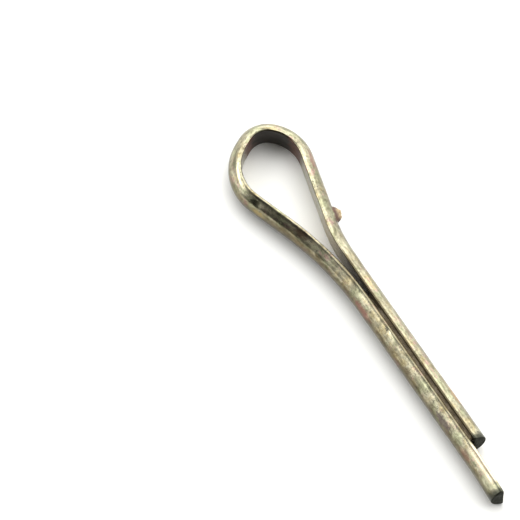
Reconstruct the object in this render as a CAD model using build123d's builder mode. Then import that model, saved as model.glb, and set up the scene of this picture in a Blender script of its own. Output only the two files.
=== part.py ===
from build123d import *
import os

# Cotter pin (split pin): one length of half-round wire, folded back on itself.
# The flat of the wire faces inwards, so the two legs close to a nearly round
# shank, and the fold is left open as an eye.  One leg is longer than the other.
#
# Frame: origin on the shank's axis where the closed legs start to run parallel,
# +X along the legs to their tips, +Y towards the short leg, +Z up.  The pin lies
# on its side, resting on the narrow edges of the wire.

# --- driving dimensions, mm ---------------------------------------------------
shank_d = 3.0            # diameter that the two closed legs make
leg_gap = 0.36           # slot between the flats along the parallel stretch
edge_r = 0.20            # rounded edges of the drawn half-round wire
end_r = 0.11             # worn edge round each sheared end

short_leg_x = 17.95      # tip of the short leg
long_leg_x = 23.9        # tip of the long leg
long_leg_drift = 0.18    # how far the long leg's tip wanders outwards
short_shear = 5.0        # degrees off square, sheared end of the short leg
long_shear = -7.0        # degrees off square, sheared end of the long leg

# Corners of the flat's centre line, from the short leg round the eye to the
# long leg, and the bend radius at each corner.
half_gap = leg_gap / 2
path_points = [
    (short_leg_x + 0.6, half_gap),
    (-3.000, half_gap),            # barely perceptible set in the short leg
    (-7.835, half_gap + 0.067),    # neck, short-leg side
    (-18.839, 3.028),              # shoulder of the eye
    (-21.385, 0.377),              # crown of the eye, the tightest bend
    (-18.689, -4.488),             # wide side of the eye
    (-5.778, -half_gap),           # neck, long-leg side: a slow, gentle bend
    (20.552, -half_gap),           # the long leg leaves the line past the short tip
    (long_leg_x + 0.6, -half_gap - long_leg_drift * 1.18),
]
bend_radii = [401.070, 15.128, 3.726, 1.934, 4.153, 35.570, 98.070]

# rusted burr on the outside of the neck, short-leg side
burr_x, burr_y = -10.187, 0.841       # where its axis crosses the flat's centre line
burr_heading = 75.8                  # degrees from +X that its axis points, in plan
burr_tilt = 8.0                      # degrees that its axis points above level
burr_foot = (0.98, 0.62)             # half length and half height at the wire
burr_tip = (0.52, 0.36)              # the same near its tip
burr_out = 0.72                      # how far it stands out of the wire

radius = shank_d / 2

with BuildPart() as cotter_pin:
    # centre line of the inner flat, in the plane of the fold
    with BuildLine(Plane.XY) as fold:
        FilletPolyline(*path_points, radius=bend_radii)
    route = fold.wires()[0]

    # half-round section: a segment of the shank's circle, flat on the path
    start = Plane(
        origin=Vector(*path_points[0]), x_dir=(0, 1, 0), z_dir=(-1, 0, 0)
    )
    with BuildSketch(start) as wire_section:
        with Locations((-half_gap, 0)):
            Circle(radius)
        with Locations((-radius, 0)):
            Rectangle(2 * radius, 3 * radius, mode=Mode.SUBTRACT)
        fillet(wire_section.vertices(), radius=edge_r)
    sweep(path=route)

    # burr: a blunt lump fused to the wire
    outwards = Vector(1, 0, 0).rotate(Axis.Y, -burr_tilt).rotate(Axis.Z, burr_heading)
    along = Vector(0, 0, 1).cross(outwards).normalized()
    axis_start = Vector(burr_x, burr_y, 0)
    foot_depth, tip_depth = radius - half_gap - 0.45, radius - half_gap + burr_out
    foot = Plane(
        origin=axis_start + outwards * foot_depth, x_dir=along, z_dir=outwards
    )
    tip = Plane(
        origin=axis_start + outwards * tip_depth, x_dir=along, z_dir=outwards
    )
    with BuildSketch(foot) as burr_foot_outline:
        Ellipse(*burr_foot)
    with BuildSketch(tip) as burr_tip_outline:
        Ellipse(*burr_tip)
    loft(sections=[burr_foot_outline.sketch, burr_tip_outline.sketch])
    tip_face = cotter_pin.faces().filter_by(GeomType.PLANE).filter_by(
        lambda f: f.normal_at().dot(outwards) > 0.99
    )
    fillet(tip_face.edges(), radius=0.2)

    # sheared ends: each blade cut leaves the end a few degrees off square
    with Locations(
        Location((short_leg_x, half_gap + 0.85, 0), (0, 0, short_shear))
    ):
        Box(1.2, 2.2, 4, align=(Align.MIN, Align.CENTER, Align.CENTER),
            mode=Mode.SUBTRACT)
    with Locations(
        Location((long_leg_x, -half_gap - 0.8, 0), (0, 0, long_shear))
    ):
        Box(2, 3.4, 4, align=(Align.MIN, Align.CENTER, Align.CENTER),
            mode=Mode.SUBTRACT)
    end_faces = (
        cotter_pin.faces()
        .filter_by(GeomType.PLANE)
        .filter_by(lambda f: abs(f.normal_at().X) > 0.97)
        .sort_by(Axis.X)[-2:]
    )
    end_edges = end_faces[0].edges() + end_faces[1].edges()
    fillet(end_edges, radius=end_r)

cotter_pin.part.label = "cotter_pin"

os.makedirs("parts", exist_ok=True)
export_step(cotter_pin.part, "parts/cotter_pin.step")
print("volume mm3", round(cotter_pin.part.volume, 3))
print("solids", len(cotter_pin.part.solids()))
box = cotter_pin.part.bounding_box()
print("box", box.min, box.max)
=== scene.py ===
"""Looks of a worn cotter pin: a folded half-round wire, drawn marks, tarnish, sheared tips and a rusty burr."""
import math
import bpy
import numpy as np
from mathutils import Matrix, Vector


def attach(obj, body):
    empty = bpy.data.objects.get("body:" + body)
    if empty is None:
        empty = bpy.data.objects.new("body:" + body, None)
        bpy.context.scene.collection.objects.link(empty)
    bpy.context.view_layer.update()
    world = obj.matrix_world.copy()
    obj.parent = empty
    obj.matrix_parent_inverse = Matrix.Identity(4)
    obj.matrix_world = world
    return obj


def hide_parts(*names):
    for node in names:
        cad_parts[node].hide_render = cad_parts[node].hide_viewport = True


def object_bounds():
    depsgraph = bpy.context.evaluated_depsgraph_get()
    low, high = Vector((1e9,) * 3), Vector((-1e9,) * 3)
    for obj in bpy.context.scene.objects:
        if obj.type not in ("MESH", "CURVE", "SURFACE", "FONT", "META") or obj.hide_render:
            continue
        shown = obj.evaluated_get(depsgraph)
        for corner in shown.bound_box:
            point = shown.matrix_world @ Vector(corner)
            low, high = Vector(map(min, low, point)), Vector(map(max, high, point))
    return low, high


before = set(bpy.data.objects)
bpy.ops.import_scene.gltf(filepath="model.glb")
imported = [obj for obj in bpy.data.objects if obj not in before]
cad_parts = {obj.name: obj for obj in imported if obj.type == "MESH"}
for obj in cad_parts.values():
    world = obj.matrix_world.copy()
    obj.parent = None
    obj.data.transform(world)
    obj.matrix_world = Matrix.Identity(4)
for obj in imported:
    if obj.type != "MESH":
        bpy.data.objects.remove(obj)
cad_lo, cad_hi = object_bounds()
MM = 0.001

# ---------------------------------------------------------------- wire route
# Corners of the flat's centre line (mm) and the bend radius at each, short leg first.
RADIUS = 1.5
GAP = 0.36
EDGE_R = 0.20
SHORT_X, LONG_X, DRIFT = 17.95, 23.9, 0.18
ROUTE = [(SHORT_X, 0.18), (-3.000, 0.18), (-7.835, 0.247), (-18.839, 3.028), (-21.385, 0.377),
         (-18.689, -4.488), (-5.778, -0.18), (20.552, -0.18), (LONG_X, -0.18 - DRIFT)]
BENDS = [401.070, 15.128, 3.726, 1.934, 4.153, 35.570, 98.070]
BURR = (-10.187, 0.841)


def route_spans():
    """Straight runs and tangent arcs as (kind, length, data)."""
    pts = [np.array(p, float) for p in ROUTE]
    spans, here = [], pts[0]
    for i in range(1, len(pts) - 1):
        a, b = pts[i - 1] - pts[i], pts[i + 1] - pts[i]
        a, b = a / np.linalg.norm(a), b / np.linalg.norm(b)
        inner = math.acos(max(-1.0, min(1.0, float(a @ b))))
        r = BENDS[i - 1]
        d = r / math.tan(inner / 2)
        start, end = pts[i] + a * d, pts[i] + b * d
        spans.append(("run", float(np.linalg.norm(start - here)), (here, -a)))
        bis = (a + b) / np.linalg.norm(a + b)
        centre = pts[i] + bis * (r / math.sin(inner / 2))
        way = -a
        turn = math.copysign(math.pi - inner, way[0] * b[1] - way[1] * b[0])
        spans.append(("arc", r * abs(turn), (centre, start - centre, way, turn)))
        here = end
    last = pts[-1] - here
    spans.append(("run", float(np.linalg.norm(last)), (here, last / np.linalg.norm(last))))
    return spans


SPANS = route_spans()
TOTAL = sum(s[1] for s in SPANS)


def at(s):
    """Point and direction of the route at length s (mm)."""
    for kind, length, data in SPANS:
        if s <= length + 1e-9 or (kind, length) == SPANS[-1][:2]:
            if kind == "run":
                p, d = data
                return p + d * s, d
            c, v, way, turn = data
            th = turn * s / length
            ct, st = math.cos(th), math.sin(th)
            rot = np.array([[ct, -st], [st, ct]])
            return c + rot @ v, rot @ way
        s -= length
    raise ValueError("past the end")


def section():
    """Outline of the half-round wire: (out, z) in mm from the middle of the flat, anticlockwise from mid-flat."""
    h = GAP / 2
    e = EDGE_R
    # corner circle: tangent to the flat (out = 0) and inside the shank's circle centred at out = -h
    cz = math.sqrt((RADIUS - e) ** 2 - (e + h) ** 2)
    out_ang = math.atan2(cz, e + h)
    pts, kind = [], []
    for z in np.linspace(0, cz, 9)[:-1]:
        pts.append((0.0, z)); kind.append(0)
    for a in np.linspace(math.pi, out_ang, 9)[:-1]:
        pts.append((e + e * math.cos(a), cz + e * math.sin(a))); kind.append(1)
    for a in np.linspace(out_ang, -out_ang, 31)[:-1]:
        pts.append((-h + RADIUS * math.cos(a), RADIUS * math.sin(a))); kind.append(2)
    for a in np.linspace(-out_ang, -math.pi, 9)[:-1]:
        pts.append((e + e * math.cos(a), -cz + e * math.sin(a))); kind.append(1)
    for z in np.linspace(-cz, 0, 9)[:-1]:
        pts.append((0.0, z)); kind.append(0)
    return np.array(pts), np.array(kind)


# ---------------------------------------------------------------- seeded noise for shape
def lattice_noise(p, seed):
    """Smooth value noise in 3D, -1 to 1, repeatable."""
    p = np.asarray(p, float)
    i = np.floor(p).astype(np.int64)
    f = p - i
    f = f * f * (3 - 2 * f)

    def val(ix, iy, iz):
        n = (ix * 374761393 + iy * 668265263 + iz * 2147483647 + seed * 1274126177) & 0xFFFFFFFF
        n = ((n ^ (n >> 13)) * 1274126177) & 0xFFFFFFFF
        n = n ^ (n >> 16)
        return (n & 0xFFFFFF) / float(0xFFFFFF) * 2 - 1

    total = 0
    for dx in (0, 1):
        for dy in (0, 1):
            for dz in (0, 1):
                w = (f[:, 0] if dx else 1 - f[:, 0]) * (f[:, 1] if dy else 1 - f[:, 1]) * (f[:, 2] if dz else 1 - f[:, 2])
                total = total + w * val(i[:, 0] + dx, i[:, 1] + dy, i[:, 2] + dz)
    return total


def smooth(x, a, b):
    t = np.clip((x - a) / (b - a), 0, 1)
    return t * t * (3 - 2 * t)


# ---------------------------------------------------------------- wire mesh
def build_wire():
    outline, kind = section()
    n = len(outline)
    # where rings go: closer together round the burr and the tips
    fine = []
    s = 0.0
    while s < TOTAL:
        p, _ = at(s)
        near_burr = abs(s - S_BURR) < 1.6
        near_tip = s < 0.8 or s > TOTAL - 0.8
        step = 0.045 if near_burr else 0.05 if near_tip else 0.075
        fine.append(s)
        s += step
    fine.append(TOTAL)
    fine = np.array(fine)
    pos = np.array([np.concatenate(at(s)) for s in fine])
    P, T = pos[:, :2], pos[:, 2:]
    N = np.stack([T[:, 1], -T[:, 0]], 1)      # outwards: right of the way of travel, from the flat to the round side
    m = len(fine)

    out = np.repeat(outline[None, :, 0], m, 0)
    zz = np.repeat(outline[None, :, 1], m, 0)
    S = np.repeat(fine[:, None], n, 1)

    # section normals, for small dents and the burr
    nxt, prv = np.roll(outline, -1, 0), np.roll(outline, 1, 0)
    tang = nxt - prv
    nrm = np.stack([tang[:, 1], -tang[:, 0]], 1)
    nrm /= np.linalg.norm(nrm, axis=1)[:, None]
    if (nrm * (outline - outline.mean(0))).sum() < 0:
        nrm = -nrm

    # unrolled wire space: along, out, z
    W = np.stack([S.ravel(), out.ravel(), zz.ravel()], 1)
    push = np.zeros(m * n)
    # faint unevenness of drawn and bent wire
    push += 0.016 * lattice_noise(W * [0.45, 0.9, 0.9], 3)
    push += 0.008 * lattice_noise(W * [1.5, 2.0, 2.0], 5)
    # shallow bruises
    rng = np.random.default_rng(11)
    for _ in range(46):
        c = np.array([rng.uniform(1.5, TOTAL - 1.5), 0, 0])
        a = rng.uniform(-1.35, 1.35)
        c[1], c[2] = -GAP / 2 + RADIUS * math.cos(a), RADIUS * math.sin(a)
        size = np.array([rng.uniform(0.25, 0.9), rng.uniform(0.12, 0.35), rng.uniform(0.12, 0.35)])
        depth = rng.uniform(0.012, 0.035)
        d2 = (((W - c) / size) ** 2).sum(1)
        push -= depth * np.exp(-d2 * 1.6)
    push = push.reshape(m, n)
    # keep the resting edges true: nothing grows past the wire's height
    push = np.minimum(push, 0.012)
    out = out + push * nrm[None, :, 0]
    zz = zz + push * nrm[None, :, 1]
    zz = np.clip(zz, -Z_HALF, Z_HALF)

    # sheared tips: rings near a tip lean over to the blade's angle
    lean_s = math.tan(math.radians(5.0)) * (1 - smooth(fine, 0.0, 1.3))
    lean_l = math.tan(math.radians(7.0)) * (1 - smooth(TOTAL - fine, 0.0, 1.3))
    shift = (out - 0.62) * (-lean_s[:, None]) + (out - 0.62) * (-lean_l[:, None])
    X = P[:, None, 0] + N[:, None, 0] * out + T[:, None, 0] * shift
    Y = P[:, None, 1] + N[:, None, 1] * out + T[:, None, 1] * shift
    V = np.stack([X, Y, zz], 2)

    # burr: a blunt lump raised out of the neck
    bp, bt = at(S_BURR)
    bn = np.array([bt[1], -bt[0]])
    tilt = math.radians(8.0)
    axis = np.array([bn[0] * math.cos(tilt), bn[1] * math.cos(tilt), math.sin(tilt)])
    along = np.array([bt[0], bt[1], 0.0])
    up = np.cross(along, axis)
    up /= np.linalg.norm(up)
    seat = np.array([bp[0], bp[1], 0.0]) + axis * (RADIUS - GAP / 2)
    rel = V - seat
    ra = rel @ along
    rb = rel @ up
    depth_ok = (rel @ axis) > -0.9
    wob = 1 + 0.16 * lattice_noise(np.stack([ra.ravel() * 1.9, rb.ravel() * 1.9, np.zeros(ra.size)], 1), 21).reshape(ra.shape)
    rho = np.sqrt((ra / 0.74) ** 2 + (rb / 0.56) ** 2) * wob
    lump = 0.66 * (1 - np.clip(rho / 1.15, 0, 1) ** 2) ** 0.8
    lump *= 1 + 0.13 * lattice_noise(np.stack([ra.ravel() * 4.2, rb.ravel() * 4.2, np.zeros(ra.size)], 1), 22).reshape(ra.shape)
    on = depth_ok & (kind[None, :] == 2) & (np.abs(fine - S_BURR) < 3)[:, None]
    V = V + axis * (lump * on)[:, :, None]
    burr_mask = np.where(on, 1 - smooth(rho, 0.7, 1.55), 0.0)
    knob_mask = np.clip(lump * on / 0.66, 0, 1)

    verts = [V.reshape(-1, 3)]
    wire_pos = [np.stack([S.ravel(), out.ravel(), zz.ravel()], 1)]
    flat_mask = [(1 - smooth(out, 0.0, 0.10)).ravel()]
    lip_mask = [(1 - smooth(out, 0.10, 0.34)).ravel()]
    end_mask = [np.zeros(m * n)]
    burr_list = [burr_mask.ravel()]
    knob_list = [knob_mask.ravel()]
    faces = []
    idx = np.arange(m * n).reshape(m, n)
    a, b = idx[:-1], idx[1:]
    quads = np.stack([a, np.roll(a, -1, 1), np.roll(b, -1, 1), b], 2).reshape(-1, 4)
    faces.append(quads)
    base = m * n
    centre = np.array([0.58, 0.0])

    # tips: a small worn round, then a rough sheared face
    for tip, ring, sgn in ((0, 0, -1.0), (1, m - 1, 1.0)):
        o = np.stack([out[ring], zz[ring]], 1)
        rel = o - centre
        prev = idx[ring]
        reach = np.linalg.norm(rel, axis=1)
        steps = [(0.02, 0.05), (0.05, 0.085), (0.09, 0.11), (0.14, 0.12), (0.22, 0.12), (0.34, 0.12),
                 (0.48, 0.12), (0.64, 0.12), (0.82, 0.12)]
        lean = math.tan(math.radians(5.0 if tip == 0 else 7.0))
        for inset, fwd in steps:
            shrink = 1 - inset if inset > 0.14 else np.maximum(1 - inset / np.maximum(reach, 0.3), 0.05)
            q = centre + rel * (np.asarray(shrink)[..., None] if np.ndim(shrink) else shrink)
            face_noise = 0.0
            if inset >= 0.14:
                w = np.stack([q[:, 0] * 3.1, q[:, 1] * 3.1, np.full(n, 7.0 + tip)], 1)
                w2 = np.stack([q[:, 0] * 7.5, q[:, 1] * 2.0, np.full(n, 3.0 + tip)], 1)
                face_noise = 0.035 * lattice_noise(w, 31) + 0.015 * lattice_noise(w2, 32)
            along_t = sgn * (fwd + face_noise) - (q[:, 0] - 0.62) * lean
            x = P[ring, 0] + N[ring, 0] * q[:, 0] + T[ring, 0] * along_t
            y = P[ring, 1] + N[ring, 1] * q[:, 0] + T[ring, 1] * along_t
            verts.append(np.stack([x, y, q[:, 1]], 1))
            wire_pos.append(np.stack([np.full(n, fine[ring]) + sgn * fwd, q[:, 0], q[:, 1]], 1))
            flat_mask.append(np.zeros(n)); lip_mask.append(np.zeros(n))
            end_mask.append(np.full(n, min(1.0, fwd / 0.11)))
            burr_list.append(np.zeros(n)); knob_list.append(np.zeros(n))
            now = np.arange(base, base + n)
            base += n
            pair = np.stack([prev, now], 0)
            q4 = np.stack([pair[0], np.roll(pair[0], -1), np.roll(pair[1], -1), pair[1]], 1)
            faces.append(q4 if sgn > 0 else q4[:, ::-1])
            prev = now
        x = P[ring, 0] + N[ring, 0] * centre[0] + T[ring, 0] * (sgn * 0.12 + 0.04 * lean)
        y = P[ring, 1] + N[ring, 1] * centre[0] + T[ring, 1] * (sgn * 0.12 + 0.04 * lean)
        verts.append(np.array([[x, y, 0.0]]))
        wire_pos.append(np.array([[fine[ring] + sgn * 0.12, centre[0], 0.0]]))
        flat_mask.append(np.zeros(1)); lip_mask.append(np.zeros(1)); end_mask.append(np.ones(1)); burr_list.append(np.zeros(1)); knob_list.append(np.zeros(1))
        tri = np.stack([prev, np.roll(prev, -1), np.full(n, base)], 1)
        faces.append(tri if sgn > 0 else tri[:, ::-1])
        base += 1

    # brown grime packed in the slot, with an uneven top
    silt = np.arange(-0.6, SHORT_X - 0.25, 0.1)
    half = GAP / 2 + 0.012
    lip_y = np.array([-1.0, 1.0, 1.0, 0.5, 0.0, -0.5, -1.0]) * half
    lip_z = np.array([0.62, 0.62, 1.06, 0.97, 0.93, 0.97, 1.06])
    c = len(lip_y)
    X = np.repeat(silt[:, None], c, 1)
    Y = np.repeat(lip_y[None], len(silt), 0)
    w = np.stack([X.ravel() * 1.3, Y.ravel() * 4.0, np.full(X.size, 5.0)], 1)
    Z = lip_z[None] + (lip_z > 0.8)[None] * (0.10 * lattice_noise(w, 41) + 0.04 * lattice_noise(w * 3.1, 42)).reshape(X.shape)
    Z[:, 2:] -= 0.75 * (1 - smooth(silt, -0.6, 2.4))[:, None]      # the packing thins out towards the eye
    Z[:, :2] -= 0.75 * (1 - smooth(silt, -0.6, 2.4))[:, None]
    Z[-1, 2:] = 0.70
    verts.append(np.stack([X, Y, Z], 2).reshape(-1, 3))
    wire_pos.append(np.stack([X + 200.0, Y, Z], 2).reshape(-1, 3))
    for masks, value in ((flat_mask, 0.0), (lip_mask, 0.0), (end_mask, 0.0), (burr_list, 0.0), (knob_list, 0.0)):
        masks.append(np.full(X.size, value))
    g = base + np.arange(X.size).reshape(X.shape)
    faces.append(np.stack([g[:-1], np.roll(g[:-1], -1, 1), np.roll(g[1:], -1, 1), g[1:]], 2).reshape(-1, 4))
    faces.append(np.array([g[0]]))
    faces.append(np.array([g[-1, ::-1]]))

    verts = np.concatenate(verts) * MM
    polys = [tuple(int(i) for i in f) for block in faces for f in block]
    mesh = bpy.data.meshes.new("cotter_pin_wire")
    mesh.from_pydata(verts.tolist(), [], polys)
    mesh.validate()
    for name, data in (("flat", np.concatenate(flat_mask)), ("tip", np.concatenate(end_mask)), ("burr", np.concatenate(burr_list)), ("knob", np.concatenate(knob_list)),
                       ("lip", np.concatenate(lip_mask))):
        layer = mesh.attributes.new(name, "FLOAT", "POINT")
        layer.data.foreach_set("value", data.astype(np.float32))
    layer = mesh.attributes.new("wire", "FLOAT_VECTOR", "POINT")
    layer.data.foreach_set("vector", np.concatenate(wire_pos).astype(np.float32).ravel())
    obj = bpy.data.objects.new("cotter_pin_wire", mesh)
    bpy.context.collection.objects.link(obj)
    bpy.context.view_layer.objects.active = obj
    bm_fix(obj)
    return obj


def bm_fix(obj):
    import bmesh
    bm = bmesh.new()
    bm.from_mesh(obj.data)
    bmesh.ops.recalc_face_normals(bm, faces=bm.faces[:])
    for f in bm.faces:
        f.smooth = True
    bm.to_mesh(obj.data)
    bm.free()


def nearest_s(point):
    best = min(np.linspace(0, TOTAL, 4001), key=lambda s: float(np.hypot(*(at(s)[0] - np.array(point)))))
    return float(best)


S_BURR = nearest_s(BURR)
S_CROWN = nearest_s((-20.3, 1.25))
S_SHORT_END = nearest_s((SHORT_X, -GAP / 2))
STAINS = [
    ((nearest_s((0.4, -GAP / 2)), 1.15, 0.60), (1.5, 0.45, 0.45), (0.24, 0.105, 0.09), 0.6),
    ((nearest_s((14.6, -GAP / 2)), 1.00, 0.85), (1.4, 0.5, 0.4), (0.10, 0.072, 0.075), 0.75),
    ((nearest_s((18.6, -GAP / 2)), 1.05, 0.75), (1.0, 0.4, 0.4), (0.20, 0.10, 0.075), 0.5),
    ((nearest_s((-14.3, -3.0)), 1.05, 0.30), (1.0, 0.45, 0.4), (0.36, 0.27, 0.10), 0.55),
    ((nearest_s((12.9, GAP / 2)), 1.15, 0.75), (1.3, 0.45, 0.55), (0.42, 0.25, 0.12), 0.7),
    ((nearest_s((-9.6, -1.5)), 0.45, 1.15), (1.1, 0.6, 0.45), (0.085, 0.030, 0.018), 0.7),
    ((nearest_s((8.3, -GAP / 2)), 1.1, 0.70), (0.9, 0.5, 0.4), (0.11, 0.085, 0.05), 0.6),
    ((nearest_s((-16.0, 2.3)), 0.9, 0.95), (1.2, 0.35, 0.4), (0.30, 0.15, 0.13), 0.6),
]
Z_HALF = float(max(abs(cad_lo.z), abs(cad_hi.z))) / MM


# ---------------------------------------------------------------- material
class Nodes:
    """Short helper for building a node tree."""

    def __init__(self, tree):
        self.t = tree

    def new(self, kind, **props):
        n = self.t.nodes.new(kind)
        for k, v in props.items():
            setattr(n, k, v)
        return n

    def link(self, a, b):
        self.t.links.new(a, b)

    def put(self, node, socket, value):
        if isinstance(value, bpy.types.NodeSocket):
            self.link(value, node.inputs[socket])
        else:
            node.inputs[socket].default_value = value

    def math(self, op, a, b=0.0, c=None, clamp=False):
        n = self.new("ShaderNodeMath", operation=op, use_clamp=clamp)
        self.put(n, 0, a)
        self.put(n, 1, b)
        if c is not None:
            self.put(n, 2, c)
        return n.outputs[0]

    def vmath(self, op, a, b=None, scale=None):
        n = self.new("ShaderNodeVectorMath", operation=op)
        self.put(n, 0, a)
        if b is not None:
            self.put(n, 1, b)
        if scale is not None:
            self.put(n, "Scale", scale)
        return n.outputs["Value"] if op in ("DOT_PRODUCT", "LENGTH", "DISTANCE") else n.outputs[0]

    def noise(self, vec, scale, detail=3.0, rough=0.55, distortion=0.0):
        n = self.new("ShaderNodeTexNoise")
        self.link(vec, n.inputs["Vector"])
        n.inputs["Scale"].default_value = scale
        n.inputs["Detail"].default_value = detail
        n.inputs["Roughness"].default_value = rough
        n.inputs["Distortion"].default_value = distortion
        return n.outputs["Fac"]

    def ramp(self, fac, stops):
        n = self.new("ShaderNodeValToRGB")
        els = n.color_ramp.elements
        while len(els) < len(stops):
            els.new(0.5)
        for e, (pos, col) in zip(els, stops):
            e.position = pos
            e.color = (*col, 1) if len(col) == 3 else col
        self.put(n, 0, fac)
        return n.outputs[0]

    def range(self, v, a, b, c=0.0, d=1.0, smooth=False):
        n = self.new("ShaderNodeMapRange")
        if smooth:
            n.interpolation_type = "SMOOTHSTEP"
        self.put(n, "Value", v)
        for k, x in zip(("From Min", "From Max", "To Min", "To Max"), (a, b, c, d)):
            self.put(n, k, x)
        return n.outputs["Result"]

    def mix(self, fac, a, b, blend="MIX"):
        n = self.new("ShaderNodeMix", data_type="RGBA", blend_type=blend)
        self.put(n, 0, fac)
        self.put(n, 6, a)
        self.put(n, 7, b)
        return n.outputs[2]

    def attr(self, name):
        return self.new("ShaderNodeAttribute", attribute_name=name)


def steel_material():
    mat = bpy.data.materials.new("worn_wire")
    mat.use_nodes = True
    t = mat.node_tree
    t.nodes.clear()
    k = Nodes(t)
    out = k.new("ShaderNodeOutputMaterial")
    sh = k.new("ShaderNodeBsdfPrincipled")
    k.link(sh.outputs[0], out.inputs["Surface"])

    wire = k.attr("wire").outputs["Vector"]
    flat = k.attr("flat").outputs["Fac"]
    tip = k.attr("tip").outputs["Fac"]
    burr = k.attr("burr").outputs["Fac"]

    drawn = k.vmath("MULTIPLY", wire, (0.16, 1.0, 1.0))       # stretched along the wire
    blotch = k.vmath("MULTIPLY", wire, (0.75, 1.0, 1.0))

    n_blotch = k.noise(blotch, 1.3, 4.0, 0.6, 0.5)
    n_fine = k.noise(blotch, 4.6, 4.0, 0.65)
    n_streak = k.noise(drawn, 6.0, 3.0, 0.6)
    n_hue = k.noise(blotch, 0.85, 3.0, 0.55, 0.3)
    n_spot = k.noise(wire, 3.0, 3.0, 0.55, 0.2)
    n_pink = k.noise(k.vmath("ADD", blotch, (31.0, 7.0, 3.0)), 1.1, 3.0, 0.6, 0.4)

    plate = k.ramp(n_blotch, [(0.28, (0.19, 0.175, 0.12)), (0.5, (0.345, 0.325, 0.245)), (0.74, (0.50, 0.475, 0.37))])
    hue = k.ramp(n_hue, [(0.34, (1.04, 0.95, 0.74)), (0.48, (1.02, 1.0, 0.95)), (0.64, (0.93, 0.99, 0.86))])
    plate = k.mix(1.0, plate, hue, "MULTIPLY")
    pink = k.range(n_pink, 0.56, 0.68, 0.0, 0.75, smooth=True)
    plate = k.mix(pink, plate, (0.40, 0.27, 0.235, 1))
    streak = k.ramp(n_streak, [(0.34, (0.62, 0.60, 0.55)), (0.52, (1.0, 1.0, 1.0))])
    plate = k.mix(0.55, plate, streak, "MULTIPLY")
    speck = k.ramp(n_fine, [(0.32, (0.42, 0.39, 0.33)), (0.47, (1.0, 1.0, 1.0)), (0.66, (1.25, 1.25, 1.2))])
    plate = k.mix(0.6, plate, speck, "MULTIPLY")

    grime_tone = k.ramp(n_fine, [(0.3, (0.022, 0.019, 0.014)), (0.7, (0.075, 0.068, 0.05))])
    spots = k.range(n_spot, 0.61, 0.72, 0.0, 0.7, smooth=True)
    col = k.mix(spots, plate, grime_tone)

    # soot-dark tarnish on the flat inside the crown, with red-brown at both its ends
    where = k.new("ShaderNodeSeparateXYZ")
    k.link(wire, where.inputs[0])
    along = where.outputs[0]
    ragged = k.math("ADD", along, k.math("MULTIPLY", k.math("SUBTRACT", n_blotch, 0.5), 2.2))
    soot = k.math("MULTIPLY", k.range(ragged, S_CROWN - 2.6, S_CROWN - 1.7, smooth=True),
                  k.range(ragged, S_CROWN + 1.6, S_CROWN + 2.5, 1.0, 0.0, smooth=True))
    ends = k.math("MULTIPLY", k.range(ragged, S_CROWN - 4.9, S_CROWN - 3.6, smooth=True),
                  k.range(ragged, S_CROWN + 2.8, S_CROWN + 4.0, 1.0, 0.0, smooth=True))
    slot = k.math("MULTIPLY", k.range(along, S_CROWN - 9.5, S_CROWN - 12.5, smooth=True), 0.55)
    slot2 = k.math("MULTIPLY", k.range(along, S_CROWN + 11.0, S_CROWN + 14.0, smooth=True), 0.55)
    on_flat = k.range(flat, 0.25, 0.75, smooth=True)
    rust_in = k.ramp(n_fine, [(0.3, (0.045, 0.011, 0.005)), (0.55, (0.120, 0.036, 0.018)), (0.75, (0.20, 0.085, 0.045))])
    ends_amt = k.math("MULTIPLY", on_flat, k.math("MULTIPLY", ends, 0.95))
    col = k.mix(ends_amt, col, rust_in)
    soot_amt = k.math("MULTIPLY", on_flat, k.math("MULTIPLY", soot, 0.95))
    col = k.mix(soot_amt, col, (0.030, 0.028, 0.023, 1))
    slot_amt = k.math("MULTIPLY", on_flat, k.math("MAXIMUM", slot, slot2))
    col = k.mix(slot_amt, col, (0.34, 0.26, 0.15, 1))
    flat_amt = k.math("MAXIMUM", soot_amt, k.math("MAXIMUM", ends_amt, slot_amt))

    # painted shade on the slot's lips, where the legs lie together
    lip = k.attr("lip").outputs["Fac"]
    closed = k.math("MAXIMUM", k.math("MULTIPLY", k.range(along, S_CROWN - 14.0, S_CROWN - 17.0, smooth=True), 1.0),
                    k.math("MULTIPLY", k.range(along, S_CROWN + 15.5, S_CROWN + 18.5, smooth=True), k.range(along, S_SHORT_END - 0.6, S_SHORT_END + 0.5, 1.0, 0.0, smooth=True)))
    groove_lip_shade = k.math("MULTIPLY", lip, k.math("MULTIPLY", closed, 0.82))
    col = k.mix(groove_lip_shade, col, (0.085, 0.065, 0.035, 1))
    # painted shade: colour darkened towards the underside, the side it lies on
    underside_shade = k.range(k.math("ADD", where.outputs[2], k.math("MULTIPLY", k.math("SUBTRACT", n_blotch, 0.5), 0.7)), 1.15, 0.50, 0.0, 0.9, smooth=True)
    col = k.mix(k.math("MULTIPLY", underside_shade, k.math("SUBTRACT", 1.0, on_flat)), col, k.mix(1.0, col, (0.38, 0.345, 0.29, 1), "MULTIPLY"))

    # single stains: place on the wire (length, out, z), reach, tone, strength
    for spot, reach, tone, amount in STAINS:
        away = k.vmath("LENGTH", k.vmath("MULTIPLY", k.vmath("SUBTRACT", wire, spot), tuple(1 / q for q in reach)))
        away = k.math("ADD", away, k.math("MULTIPLY", k.math("SUBTRACT", n_fine, 0.5), 1.5))
        col = k.mix(k.range(away, 0.55, 1.15, amount, 0.0, smooth=True), col, (*tone, 1))
    # painted highlight on the upper side of the long leg's inner shoulder, past the short tip
    shoulder_highlight = k.math("MULTIPLY", k.range(along, S_SHORT_END + 0.1, S_SHORT_END + 1.0, smooth=True),
                    k.range(along, TOTAL - 1.5, TOTAL - 0.8, 1.0, 0.0, smooth=True))
    shoulder_highlight = k.math("MULTIPLY", shoulder_highlight, k.range(k.math("ADD", where.outputs[1], k.math("MULTIPLY", n_blotch, 0.4)), 1.10, 0.75, 0.0, 0.85, smooth=True))
    shoulder_highlight = k.math("MULTIPLY", shoulder_highlight, k.range(where.outputs[2], 0.2, 0.7, smooth=True))
    col = k.mix(shoulder_highlight, col, (0.64, 0.55, 0.40, 1))

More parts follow.
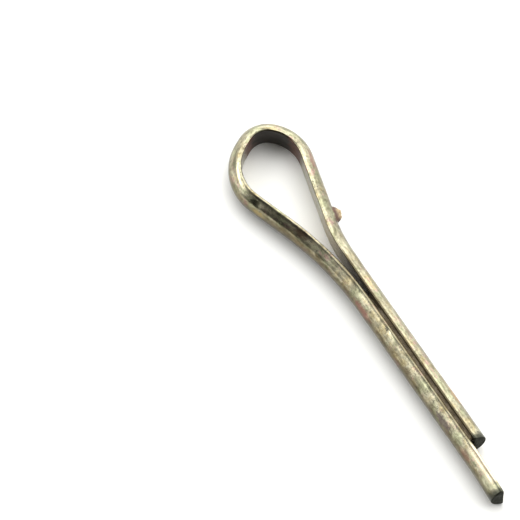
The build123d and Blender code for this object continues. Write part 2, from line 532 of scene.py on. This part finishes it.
    cut_tone = k.ramp(n_fine, [(0.3, (0.007, 0.008, 0.006)), (0.7, (0.045, 0.046, 0.036))])
    back_s = k.math("ADD", along, k.math("MULTIPLY", k.math("SUBTRACT", n_fine, 0.5), 0.9))
    near_s = k.range(back_s, 0.15, 0.85, 0.9, 0.0, smooth=True)
    near_l = k.range(back_s, TOTAL - 0.85, TOTAL - 0.15, 0.0, 0.9, smooth=True)
    col = k.mix(k.math("MAXIMUM", near_s, near_l), col, (0.035, 0.037, 0.029, 1))
    tip_amt = k.range(k.math("ADD", tip, k.math("MULTIPLY", k.math("SUBTRACT", n_fine, 0.5), 0.35)), 0.25, 0.6, 0.0, 1.0, smooth=True)
    col = k.mix(tip_amt, col, cut_tone)

    rust_dark = k.ramp(n_fine, [(0.28, (0.020, 0.007, 0.004)), (0.5, (0.060, 0.020, 0.011)), (0.72, (0.13, 0.060, 0.03))])
    rust_pale = k.ramp(n_fine, [(0.3, (0.20, 0.115, 0.045)), (0.7, (0.52, 0.42, 0.24))])
    rust_tone = k.mix(k.range(k.attr("knob").outputs["Fac"], 0.25, 0.8, smooth=True), rust_dark, rust_pale)
    burr_amt = k.range(k.math("ADD", burr, k.math("MULTIPLY", k.math("SUBTRACT", n_fine, 0.5), 0.9)), 0.30, 0.62, 0.0, 1.0, smooth=True)
    col = k.mix(burr_amt, col, rust_tone)

    packed = k.range(along, 150.0, 151.0)
    col = k.mix(packed, col, k.ramp(n_fine, [(0.3, (0.085, 0.062, 0.030)), (0.7, (0.26, 0.20, 0.115))]))
    k.link(col, sh.inputs["Base Color"])
    dirty = k.math("MAXIMUM", k.math("MAXIMUM", k.math("MULTIPLY", flat_amt, 0.6), k.math("MULTIPLY", spots, 0.6)), burr_amt)
    dirty = k.math("MAXIMUM", k.math("MAXIMUM", dirty, tip_amt), packed)
    metal = k.range(dirty, 0.0, 1.0, 1.0, 0.0)
    k.link(metal, sh.inputs["Metallic"])
    k.link(k.range(tip_amt, 0.0, 1.0, 0.5, 0.03), sh.inputs["Specular IOR Level"])
    rough = k.math("ADD", k.range(n_blotch, 0.25, 0.75, 0.21, 0.13), k.range(n_streak, 0.3, 0.7, 0.05, -0.03))
    rough = k.math("ADD", rough, k.math("MULTIPLY", dirty, 0.34), clamp=True)
    k.link(rough, sh.inputs["Roughness"])

    height = k.math("ADD", k.math("MULTIPLY", n_streak, 0.55), k.math("MULTIPLY", n_fine, 0.45))
    height = k.math("ADD", height, k.math("MULTIPLY", burr_amt, k.noise(wire, 9.0, 4.0, 0.7)))
    bump = k.new("ShaderNodeBump")
    bump.inputs["Strength"].default_value = 0.42
    bump.inputs["Distance"].default_value = 0.00003
    k.link(height, bump.inputs["Height"])
    k.link(bump.outputs[0], sh.inputs["Normal"])
    return mat


# ---------------------------------------------------------------- the piece
pin = build_wire()
pin.data.materials.append(steel_material())
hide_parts("cotter_pin")
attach(pin, "root")

# ---------------------------------------------------------------- floor, light, camera
ALPHA, ELEV = math.radians(-57.57), math.radians(65.0)
RIGHT = Vector((math.cos(ALPHA), -math.sin(ALPHA), 0.0))
FAR = Vector((math.sin(ALPHA), math.cos(ALPHA), 0.0))
UPV = FAR * math.sin(ELEV) + Vector((0, 0, math.cos(ELEV)))
BACK = -FAR * math.cos(ELEV) + Vector((0, 0, math.sin(ELEV)))

bpy.ops.mesh.primitive_plane_add(size=6.0, location=(0, 0, cad_lo.z - 0.00001))
floor = bpy.context.object
floor.name = "floor"
fm = bpy.data.materials.new("pale_floor")
fm.use_nodes = True
fb = fm.node_tree.nodes["Principled BSDF"]
fb.inputs["Base Color"].default_value = (0.95, 0.95, 0.935, 1)
fb.inputs["Roughness"].default_value = 0.9
fb.inputs["Specular IOR Level"].default_value = 0.2
floor.data.materials.append(fm)


def studio_world():
    world = bpy.data.worlds.new("studio")
    bpy.context.scene.world = world
    world.use_nodes = True
    t = world.node_tree
    t.nodes.clear()
    k = Nodes(t)
    out = k.new("ShaderNodeOutputWorld")
    d = k.new("ShaderNodeTexCoord").outputs["Generated"]

    # bearing as 0 to 1, and height in degrees
    side = k.vmath("DOT_PRODUCT", d, tuple(RIGHT))
    deep = k.vmath("DOT_PRODUCT", d, tuple(FAR))
    rise = k.vmath("DOT_PRODUCT", d, (0.0, 0.0, 1.0))
    turn = k.math("FRACT", k.math("MULTIPLY", k.math("ARCTAN2", deep, side), 1 / math.tau))
    height = k.math("MULTIPLY", k.math("ARCSINE", rise), 180 / math.pi)
    total = None
    for i, (level, start, values) in enumerate(BANDS):
        if len(values) > 1:
            n = len(values)
            stops = sorted(((start / 360 + j / n) % 1.0, v) for j, v in enumerate(values))
            wrap = (stops[0][1] * (1 - stops[-1][0]) + stops[-1][1] * stops[0][0]) / max(1 - stops[-1][0] + stops[0][0], 1e-6)
            stops = [(0.0, wrap)] * (stops[0][0] > 0.001) + stops + [(1.0, wrap if stops[0][0] > 0.001 else stops[0][1])]
            level_light = k.ramp(turn, [(q, (v / 5, v / 5, v / 5)) for q, v in stops])
        else:
            level_light = k.new("ShaderNodeCombineXYZ").outputs[0]
            for c in range(3):
                level_light.node.inputs[c].default_value = values[0] / 5
        below = BANDS[i - 1][0] if i else -8
        share = k.range(height, below, level, 0.0, 1.0, smooth=True) if i else k.range(height, -8, 2, 0.0, 1.0, smooth=True)
        if i + 1 < len(BANDS):
            share = k.math("MULTIPLY", share, k.range(height, level, BANDS[i + 1][0], 1.0, 0.0, smooth=True))
        l = k.new("ShaderNodeVectorMath", operation="SCALE")
        k.link(level_light, l.inputs[0])
        k.link(share, l.inputs["Scale"])
        total = l.outputs[0] if total is None else k.vmath("ADD", total, l.outputs[0])
    gained = k.vmath("MULTIPLY", total, tuple(5 * BAND_GAIN * c for c in SKY_TINT))
    total = gained
    total = k.vmath("ADD", total, AMBIENT)
    bg = k.new("ShaderNodeBackground")
    k.link(total, bg.inputs["Color"])
    white = k.new("ShaderNodeBackground")
    white.inputs["Color"].default_value = (1.2, 1.2, 1.2, 1)
    path = k.new("ShaderNodeLightPath")
    mixer = k.new("ShaderNodeMixShader")
    k.link(path.outputs["Is Camera Ray"], mixer.inputs[0])
    k.link(bg.outputs[0], mixer.inputs[1])
    k.link(white.outputs[0], mixer.inputs[2])
    k.link(mixer.outputs[0], out.inputs["Surface"])


# the room's light in bands: height above level (degrees), then strength at equal bearings from 0 (right) through 90 (behind)
BANDS = [
    (8, 0.0, (1.93, 1.67, 0.90, 1.98, 2.10, 2.11, 1.20, 0.50, 0.60, 1.50, 0.40, 0.00, 0.00, 0.00, 0.00, 0.00, 0.45, 1.21)),
    (25, 11.2, (1.88, 1.07, 1.26, 1.52, 1.59, 1.32, 0.60, 0.50, 1.20, 0.00, 0.00, 0.00, 0.00, 0.00, 0.62, 1.46)),
    (42, 0.0, (1.61, 2.16, 2.52, 1.40, 1.88, 2.55, 4.60, 0.35, 0.00, 0.00, 0.00, 0.16, 0.71)),
    (58, 20.0, (1.58, 2.30, 2.50, 1.30, 0.05, 0.00, 0.05, 0.49, 0.77)),
    (74, 0.0, (0.90, 2.00, 1.50, 0.00, 0.00, 0.20)),
    (90, 0.0, (0.12,)),
]
BAND_GAIN = 1.6
SKY_TINT = (1.0, 1.0, 0.985)
AMBIENT = (0.004, 0.004, 0.004)
studio_world()

cam_data = bpy.data.cameras.new("camera")
cam = bpy.data.objects.new("camera", cam_data)
bpy.context.collection.objects.link(cam)
bpy.context.scene.camera = cam
SCALE = 10.267                                   # 520-frame units per mm at the pin
aim = (RIGHT * ((260 - 371.5) / SCALE) + UPV * ((303.2 - 260) / SCALE)) * MM
DIST = 0.70
cam_data.sensor_width = 36.0
cam_data.lens = 36.0 * DIST / (520 / SCALE * MM)
cam_data.clip_start, cam_data.clip_end = 0.01, 20.0
rot = Matrix((RIGHT, UPV, BACK)).transposed()
cam.matrix_world = Matrix.Translation(aim + BACK * DIST) @ rot.to_4x4()

bpy.context.scene.view_settings.view_transform = "Standard"
